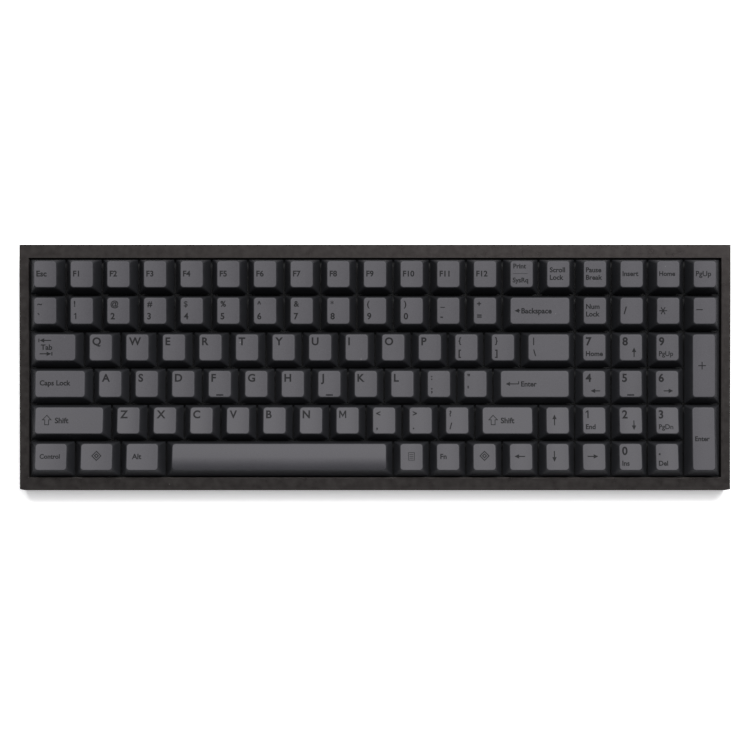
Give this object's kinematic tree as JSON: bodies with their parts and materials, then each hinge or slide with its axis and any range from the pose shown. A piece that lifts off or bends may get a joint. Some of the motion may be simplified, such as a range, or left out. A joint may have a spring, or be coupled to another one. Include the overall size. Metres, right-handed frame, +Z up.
{
  "type": "mechanical keyboard",
  "caption": "Compact full-size mechanical keyboard with a wedge case, an open-topped frame, a switch plate and sculpted keys that travel into their switches.",
  "frame": {"origin": "centre of the overall box on the table, under the rubber feet", "axes": "+X to the typist's right along the case, +Y away from the typist, +Z up; the deck slopes up 6 degrees towards +Y"},
  "size_m": [0.373, 0.1276, 0.04],
  "materials": {
    "anodised": "dark brown-grey anodised, bead-blasted matt",
    "plate_steel": "black powder coat",
    "housing_plastic": "black moulded nylon",
    "laminate": "dark green solder mask",
    "plated_steel": "tin plated",
    "rubber": "matt black",
    "screw_steel": "black oxide",
    "key_plastic": "dark grey, finely grained"
  },
  "bodies": {
    "case": {"case_frame": "anodised", "case_base": "anodised", "switch_plate": "plate_steel", "switch_housings": "housing_plastic", "circuit_board": "laminate", "cable_socket": "plated_steel", "foot_front": "rubber", "foot_back": "rubber", "screw_front_left": "screw_steel", "screw_front_right": "screw_steel", "screw_back_left": "screw_steel", "screw_back_right": "screw_steel"},
    "keys_function_row": {"keys_function_row": "key_plastic"},
    "keys_number_row": {"keys_number_row": "key_plastic"},
    "keys_punctuation": {"keys_punctuation": "key_plastic"},
    "keys_numpad": {"keys_numpad": "key_plastic"},
    "key_esc": {"key_esc": "key_plastic"},
    "key_backspace": {"key_backspace": "key_plastic"},
    "key_tab": {"key_tab": "key_plastic"},
    "key_q": {"key_q": "key_plastic"},
    "key_w": {"key_w": "key_plastic"},
    "key_e": {"key_e": "key_plastic"},
    "key_r": {"key_r": "key_plastic"},
    "key_t": {"key_t": "key_plastic"},
    "key_y": {"key_y": "key_plastic"},
    "key_u": {"key_u": "key_plastic"},
    "key_i": {"key_i": "key_plastic"},
    "key_o": {"key_o": "key_plastic"},
    "key_p": {"key_p": "key_plastic"},
    "key_caps_lock": {"key_caps_lock": "key_plastic"},
    "key_a": {"key_a": "key_plastic"},
    "key_s": {"key_s": "key_plastic"},
    "key_d": {"key_d": "key_plastic"},
    "key_f": {"key_f": "key_plastic"},
    "key_g": {"key_g": "key_plastic"},
    "key_h": {"key_h": "key_plastic"},
    "key_j": {"key_j": "key_plastic"},
    "key_k": {"key_k": "key_plastic"},
    "key_l": {"key_l": "key_plastic"},
    "key_enter": {"key_enter": "key_plastic"},
    "key_left_shift": {"key_left_shift": "key_plastic"},
    "key_z": {"key_z": "key_plastic"},
    "key_x": {"key_x": "key_plastic"},
    "key_c": {"key_c": "key_plastic"},
    "key_v": {"key_v": "key_plastic"},
    "key_b": {"key_b": "key_plastic"},
    "key_n": {"key_n": "key_plastic"},
    "key_m": {"key_m": "key_plastic"},
    "key_right_shift": {"key_right_shift": "key_plastic"},
    "key_up": {"key_up": "key_plastic"},
    "key_left_control": {"key_left_control": "key_plastic"},
    "key_left_super": {"key_left_super": "key_plastic"},
    "key_left_alt": {"key_left_alt": "key_plastic"},
    "key_space": {"key_space": "key_plastic"},
    "key_menu": {"key_menu": "key_plastic"},
    "key_fn": {"key_fn": "key_plastic"},
    "key_right_super": {"key_right_super": "key_plastic"},
    "key_left": {"key_left": "key_plastic"},
    "key_down": {"key_down": "key_plastic"},
    "key_right": {"key_right": "key_plastic"}
  },
  "joints": [
    {"name": "keys_function_row_press", "type": "slide", "parent": "case", "child": "keys_function_row", "axis": [0, 0.1045, -0.9945], "range_m": [0, 0.004], "stiffness_N_per_m": 1350, "springref_m": -0.004},
    {"name": "keys_number_row_press", "type": "slide", "parent": "case", "child": "keys_number_row", "axis": [0, 0.1045, -0.9945], "range_m": [0, 0.004], "stiffness_N_per_m": 975, "springref_m": -0.004},
    {"name": "keys_punctuation_press", "type": "slide", "parent": "case", "child": "keys_punctuation", "axis": [0, 0.1045, -0.9945], "range_m": [0, 0.004], "stiffness_N_per_m": 600, "springref_m": -0.004},
    {"name": "keys_numpad_press", "type": "slide", "parent": "case", "child": "keys_numpad", "axis": [0, 0.1045, -0.9945], "range_m": [0, 0.004], "stiffness_N_per_m": 1275, "springref_m": -0.004},
    {"name": "key_esc_press", "type": "slide", "parent": "case", "child": "key_esc", "axis": [0, 0.1045, -0.9945], "range_m": [0, 0.004], "stiffness_N_per_m": 75, "springref_m": -0.004},
    {"name": "key_backspace_press", "type": "slide", "parent": "case", "child": "key_backspace", "axis": [0, 0.1045, -0.9945], "range_m": [0, 0.004], "stiffness_N_per_m": 75, "springref_m": -0.004},
    {"name": "key_tab_press", "type": "slide", "parent": "case", "child": "key_tab", "axis": [0, 0.1045, -0.9945], "range_m": [0, 0.004], "stiffness_N_per_m": 75, "springref_m": -0.004},
    {"name": "key_q_press", "type": "slide", "parent": "case", "child": "key_q", "axis": [0, 0.1045, -0.9945], "range_m": [0, 0.004], "stiffness_N_per_m": 75, "springref_m": -0.004},
    {"name": "key_w_press", "type": "slide", "parent": "case", "child": "key_w", "axis": [0, 0.1045, -0.9945], "range_m": [0, 0.004], "stiffness_N_per_m": 75, "springref_m": -0.004},
    {"name": "key_e_press", "type": "slide", "parent": "case", "child": "key_e", "axis": [0, 0.1045, -0.9945], "range_m": [0, 0.004], "stiffness_N_per_m": 75, "springref_m": -0.004},
    {"name": "key_r_press", "type": "slide", "parent": "case", "child": "key_r", "axis": [0, 0.1045, -0.9945], "range_m": [0, 0.004], "stiffness_N_per_m": 75, "springref_m": -0.004},
    {"name": "key_t_press", "type": "slide", "parent": "case", "child": "key_t", "axis": [0, 0.1045, -0.9945], "range_m": [0, 0.004], "stiffness_N_per_m": 75, "springref_m": -0.004},
    {"name": "key_y_press", "type": "slide", "parent": "case", "child": "key_y", "axis": [0, 0.1045, -0.9945], "range_m": [0, 0.004], "stiffness_N_per_m": 75, "springref_m": -0.004},
    {"name": "key_u_press", "type": "slide", "parent": "case", "child": "key_u", "axis": [0, 0.1045, -0.9945], "range_m": [0, 0.004], "stiffness_N_per_m": 75, "springref_m": -0.004},
    {"name": "key_i_press", "type": "slide", "parent": "case", "child": "key_i", "axis": [0, 0.1045, -0.9945], "range_m": [0, 0.004], "stiffness_N_per_m": 75, "springref_m": -0.004},
    {"name": "key_o_press", "type": "slide", "parent": "case", "child": "key_o", "axis": [0, 0.1045, -0.9945], "range_m": [0, 0.004], "stiffness_N_per_m": 75, "springref_m": -0.004},
    {"name": "key_p_press", "type": "slide", "parent": "case", "child": "key_p", "axis": [0, 0.1045, -0.9945], "range_m": [0, 0.004], "stiffness_N_per_m": 75, "springref_m": -0.004},
    {"name": "key_caps_lock_press", "type": "slide", "parent": "case", "child": "key_caps_lock", "axis": [0, 0.1045, -0.9945], "range_m": [0, 0.004], "stiffness_N_per_m": 75, "springref_m": -0.004},
    {"name": "key_a_press", "type": "slide", "parent": "case", "child": "key_a", "axis": [0, 0.1045, -0.9945], "range_m": [0, 0.004], "stiffness_N_per_m": 75, "springref_m": -0.004},
    {"name": "key_s_press", "type": "slide", "parent": "case", "child": "key_s", "axis": [0, 0.1045, -0.9945], "range_m": [0, 0.004], "stiffness_N_per_m": 75, "springref_m": -0.004},
    {"name": "key_d_press", "type": "slide", "parent": "case", "child": "key_d", "axis": [0, 0.1045, -0.9945], "range_m": [0, 0.004], "stiffness_N_per_m": 75, "springref_m": -0.004},
    {"name": "key_f_press", "type": "slide", "parent": "case", "child": "key_f", "axis": [0, 0.1045, -0.9945], "range_m": [0, 0.004], "stiffness_N_per_m": 75, "springref_m": -0.004},
    {"name": "key_g_press", "type": "slide", "parent": "case", "child": "key_g", "axis": [0, 0.1045, -0.9945], "range_m": [0, 0.004], "stiffness_N_per_m": 75, "springref_m": -0.004},
    {"name": "key_h_press", "type": "slide", "parent": "case", "child": "key_h", "axis": [0, 0.1045, -0.9945], "range_m": [0, 0.004], "stiffness_N_per_m": 75, "springref_m": -0.004},
    {"name": "key_j_press", "type": "slide", "parent": "case", "child": "key_j", "axis": [0, 0.1045, -0.9945], "range_m": [0, 0.004], "stiffness_N_per_m": 75, "springref_m": -0.004},
    {"name": "key_k_press", "type": "slide", "parent": "case", "child": "key_k", "axis": [0, 0.1045, -0.9945], "range_m": [0, 0.004], "stiffness_N_per_m": 75, "springref_m": -0.004},
    {"name": "key_l_press", "type": "slide", "parent": "case", "child": "key_l", "axis": [0, 0.1045, -0.9945], "range_m": [0, 0.004], "stiffness_N_per_m": 75, "springref_m": -0.004},
    {"name": "key_enter_press", "type": "slide", "parent": "case", "child": "key_enter", "axis": [0, 0.1045, -0.9945], "range_m": [0, 0.004], "stiffness_N_per_m": 75, "springref_m": -0.004},
    {"name": "key_left_shift_press", "type": "slide", "parent": "case", "child": "key_left_shift", "axis": [0, 0.1045, -0.9945], "range_m": [0, 0.004], "stiffness_N_per_m": 75, "springref_m": -0.004},
    {"name": "key_z_press", "type": "slide", "parent": "case", "child": "key_z", "axis": [0, 0.1045, -0.9945], "range_m": [0, 0.004], "stiffness_N_per_m": 75, "springref_m": -0.004},
    {"name": "key_x_press", "type": "slide", "parent": "case", "child": "key_x", "axis": [0, 0.1045, -0.9945], "range_m": [0, 0.004], "stiffness_N_per_m": 75, "springref_m": -0.004},
    {"name": "key_c_press", "type": "slide", "parent": "case", "child": "key_c", "axis": [0, 0.1045, -0.9945], "range_m": [0, 0.004], "stiffness_N_per_m": 75, "springref_m": -0.004},
    {"name": "key_v_press", "type": "slide", "parent": "case", "child": "key_v", "axis": [0, 0.1045, -0.9945], "range_m": [0, 0.004], "stiffness_N_per_m": 75, "springref_m": -0.004},
    {"name": "key_b_press", "type": "slide", "parent": "case", "child": "key_b", "axis": [0, 0.1045, -0.9945], "range_m": [0, 0.004], "stiffness_N_per_m": 75, "springref_m": -0.004},
    {"name": "key_n_press", "type": "slide", "parent": "case", "child": "key_n", "axis": [0, 0.1045, -0.9945], "range_m": [0, 0.004], "stiffness_N_per_m": 75, "springref_m": -0.004},
    {"name": "key_m_press", "type": "slide", "parent": "case", "child": "key_m", "axis": [0, 0.1045, -0.9945], "range_m": [0, 0.004], "stiffness_N_per_m": 75, "springref_m": -0.004},
    {"name": "key_right_shift_press", "type": "slide", "parent": "case", "child": "key_right_shift", "axis": [0, 0.1045, -0.9945], "range_m": [0, 0.004], "stiffness_N_per_m": 75, "springref_m": -0.004},
    {"name": "key_up_press", "type": "slide", "parent": "case", "child": "key_up", "axis": [0, 0.1045, -0.9945], "range_m": [0, 0.004], "stiffness_N_per_m": 75, "springref_m": -0.004},
    {"name": "key_left_control_press", "type": "slide", "parent": "case", "child": "key_left_control", "axis": [0, 0.1045, -0.9945], "range_m": [0, 0.004], "stiffness_N_per_m": 75, "springref_m": -0.004},
    {"name": "key_left_super_press", "type": "slide", "parent": "case", "child": "key_left_super", "axis": [0, 0.1045, -0.9945], "range_m": [0, 0.004], "stiffness_N_per_m": 75, "springref_m": -0.004},
    {"name": "key_left_alt_press", "type": "slide", "parent": "case", "child": "key_left_alt", "axis": [0, 0.1045, -0.9945], "range_m": [0, 0.004], "stiffness_N_per_m": 75, "springref_m": -0.004},
    {"name": "key_space_press", "type": "slide", "parent": "case", "child": "key_space", "axis": [0, 0.1045, -0.9945], "range_m": [0, 0.004], "stiffness_N_per_m": 75, "springref_m": -0.004},
    {"name": "key_menu_press", "type": "slide", "parent": "case", "child": "key_menu", "axis": [0, 0.1045, -0.9945], "range_m": [0, 0.004], "stiffness_N_per_m": 75, "springref_m": -0.004},
    {"name": "key_fn_press", "type": "slide", "parent": "case", "child": "key_fn", "axis": [0, 0.1045, -0.9945], "range_m": [0, 0.004], "stiffness_N_per_m": 75, "springref_m": -0.004},
    {"name": "key_right_super_press", "type": "slide", "parent": "case", "child": "key_right_super", "axis": [0, 0.1045, -0.9945], "range_m": [0, 0.004], "stiffness_N_per_m": 75, "springref_m": -0.004},
    {"name": "key_left_press", "type": "slide", "parent": "case", "child": "key_left", "axis": [0, 0.1045, -0.9945], "range_m": [0, 0.004], "stiffness_N_per_m": 75, "springref_m": -0.004},
    {"name": "key_down_press", "type": "slide", "parent": "case", "child": "key_down", "axis": [0, 0.1045, -0.9945], "range_m": [0, 0.004], "stiffness_N_per_m": 75, "springref_m": -0.004},
    {"name": "key_right_press", "type": "slide", "parent": "case", "child": "key_right", "axis": [0, 0.1045, -0.9945], "range_m": [0, 0.004], "stiffness_N_per_m": 75, "springref_m": -0.004}
  ]
}
